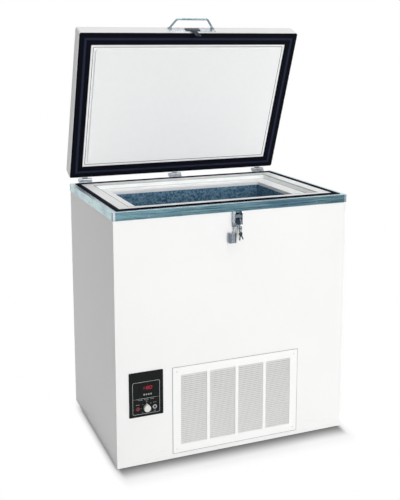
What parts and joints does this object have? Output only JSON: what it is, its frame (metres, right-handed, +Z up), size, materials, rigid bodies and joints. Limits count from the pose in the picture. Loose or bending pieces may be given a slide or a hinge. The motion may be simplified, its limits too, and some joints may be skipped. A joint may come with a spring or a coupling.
{
  "type": "chest ultra low temperature freezer",
  "caption": "White chest freezer on a flat base with a hinged insulated lid, stepped opening over a steel tank, front grille, control panel, and a latch with a hung padlock.",
  "frame": {"origin": "on the floor under the middle of the cabinet's plan", "axes": "+X to the right seen from the front, +Y to the back, +Z up"},
  "size_m": [1.0226, 0.8037, 1.7729],
  "materials": {
    "white_paint": "smooth white baked paint",
    "white_plastic": "satin white moulding",
    "rim_steel": "brushed stainless, slightly blue",
    "galvanised": "galvanised sheet with spangle",
    "black_rubber": "matt black elastomer",
    "foam": "rigid foam",
    "copper": "drawn copper",
    "black_paint": "black enamel",
    "aluminium": "mill finish",
    "grey_paint": "grey enamel",
    "black_plastic": "satin black",
    "screw_steel": "bright zinc",
    "key_plastic": "light grey",
    "red_lens": "clear red lens",
    "white_knob": "glossy white",
    "chrome": "polished plating",
    "padlock_steel": "brushed steel",
    "hinge_steel": "plated steel"
  },
  "bodies": {
    "cabinet": {"alarm_lamp": "red_lens", "base_pan": "galvanised", "cabinet_hinge_leaves": "hinge_steel", "cabinet_insulation": "foam", "cascade_exchanger": "foam", "compressor_grommets": "black_rubber", "condenser": "aluminium", "control_bezel": "black_plastic", "cord_gland": "black_plastic", "electrical_box": "grey_paint", "evaporator_coil": "copper", "fan_motor": "black_paint", "fan_shroud": "black_paint", "filter_driers": "copper", "first_stage_compressor": "black_paint", "front_panel": "white_paint", "grille": "white_paint", "grille_screws": "screw_steel", "hinge_pins": "hinge_steel", "inner_tank": "galvanised", "key_switch_barrel": "chrome", "latch_base": "chrome", "latch_pin": "chrome", "latch_screws": "screw_steel", "left_side_panel": "white_paint", "machine_deck": "galvanised", "opening_collar": "white_plastic", "rear_panel": "white_paint", "refrigerant_lines": "copper", "right_side_panel": "white_paint", "rim_front": "rim_steel", "rim_left": "rim_steel", "rim_rear": "rim_steel", "rim_right": "rim_steel", "rim_screws": "screw_steel", "rim_strip": "black_rubber", "second_stage_compressor": "black_paint", "temperature_display": "black_plastic"},
    "lid": {"lid_outer_pan": "white_paint", "lid_insulation": "foam", "lid_inner_panel": "white_plastic", "lid_gasket": "black_rubber", "lid_handle": "chrome", "handle_plate": "chrome", "lid_strike": "black_paint", "lid_hinge_leaves": "hinge_steel"},
    "latch_lever": {"latch_lever": "chrome"},
    "shackle": {"padlock_shackle": "chrome"},
    "padlock": {"padlock_body": "padlock_steel"},
    "ring": {"key_ring": "chrome"},
    "front_key": {"padlock_key_front": "chrome"},
    "rear_key": {"padlock_key_rear": "chrome"},
    "display_key_1": {"display_key_1": "key_plastic"},
    "display_key_2": {"display_key_2": "key_plastic"},
    "display_key_3": {"display_key_3": "key_plastic"},
    "display_key_4": {"display_key_4": "key_plastic"},
    "knob": {"set_knob": "white_knob"},
    "switch_plug": {"key_switch_plug": "chrome"},
    "fan": {"fan_blade": "aluminium"}
  },
  "joints": [
    {"name": "lid_hinge", "type": "hinge", "parent": "cabinet", "child": "lid", "pos_m": [0, 0.361, 1.0505], "axis": [-1, 0, 0], "range_deg": [-69, 16]},
    {"name": "latch_lever_turn", "type": "hinge", "parent": "cabinet", "child": "latch_lever", "pos_m": [0, -0.366, 0.976], "axis": [-1, 0, 0], "range_deg": [0, 10]},
    {"name": "shackle_swing", "type": "hinge", "parent": "cabinet", "child": "shackle", "pos_m": [0, -0.36, 0.9468], "axis": [-1, 0, 0], "range_deg": [0, 45]},
    {"name": "padlock_turn", "type": "hinge", "parent": "shackle", "child": "padlock", "pos_m": [-0.011, -0.36, 0.92], "axis": [0, 0, 1], "range_deg": [0, 90]},
    {"name": "ring_swing", "type": "hinge", "parent": "cabinet", "child": "ring", "pos_m": [0.006, -0.3765, 0.9443], "axis": [0, 1, 0], "range_deg": [-35, 0]},
    {"name": "front_key_swing", "type": "hinge", "parent": "ring", "child": "front_key", "pos_m": [0.006, -0.3765, 0.9243], "axis": [0, 1, 0], "range_deg": [-25, 10]},
    {"name": "rear_key_swing", "type": "hinge", "parent": "ring", "child": "rear_key", "pos_m": [0.006, -0.3765, 0.9243], "axis": [0, 1, 0], "range_deg": [-10, 25]},
    {"name": "display_key_1_press", "type": "slide", "parent": "cabinet", "child": "display_key_1", "axis": [0, 1, 0], "range_m": [0, 0.001], "stiffness_N_per_m": 200},
    {"name": "display_key_2_press", "type": "slide", "parent": "cabinet", "child": "display_key_2", "axis": [0, 1, 0], "range_m": [0, 0.001], "stiffness_N_per_m": 200},
    {"name": "display_key_3_press", "type": "slide", "parent": "cabinet", "child": "display_key_3", "axis": [0, 1, 0], "range_m": [0, 0.001], "stiffness_N_per_m": 200},
    {"name": "display_key_4_press", "type": "slide", "parent": "cabinet", "child": "display_key_4", "axis": [0, 1, 0], "range_m": [0, 0.001], "stiffness_N_per_m": 200},
    {"name": "knob_turn", "type": "hinge", "parent": "cabinet", "child": "knob", "pos_m": [-0.3832, -0.355, 0.242], "axis": [0, 1, 0], "range_deg": [-45, 45]},
    {"name": "key_switch_turn", "type": "hinge", "parent": "cabinet", "child": "switch_plug", "pos_m": [-0.3497, -0.345, 0.242], "axis": [0, 1, 0], "range_deg": [0, 90]},
    {"name": "fan_spin", "type": "hinge", "parent": "cabinet", "child": "fan", "pos_m": [0.009, -0.234, 0.15056], "axis": [0, 1, 0], "continuous": true}
  ]
}
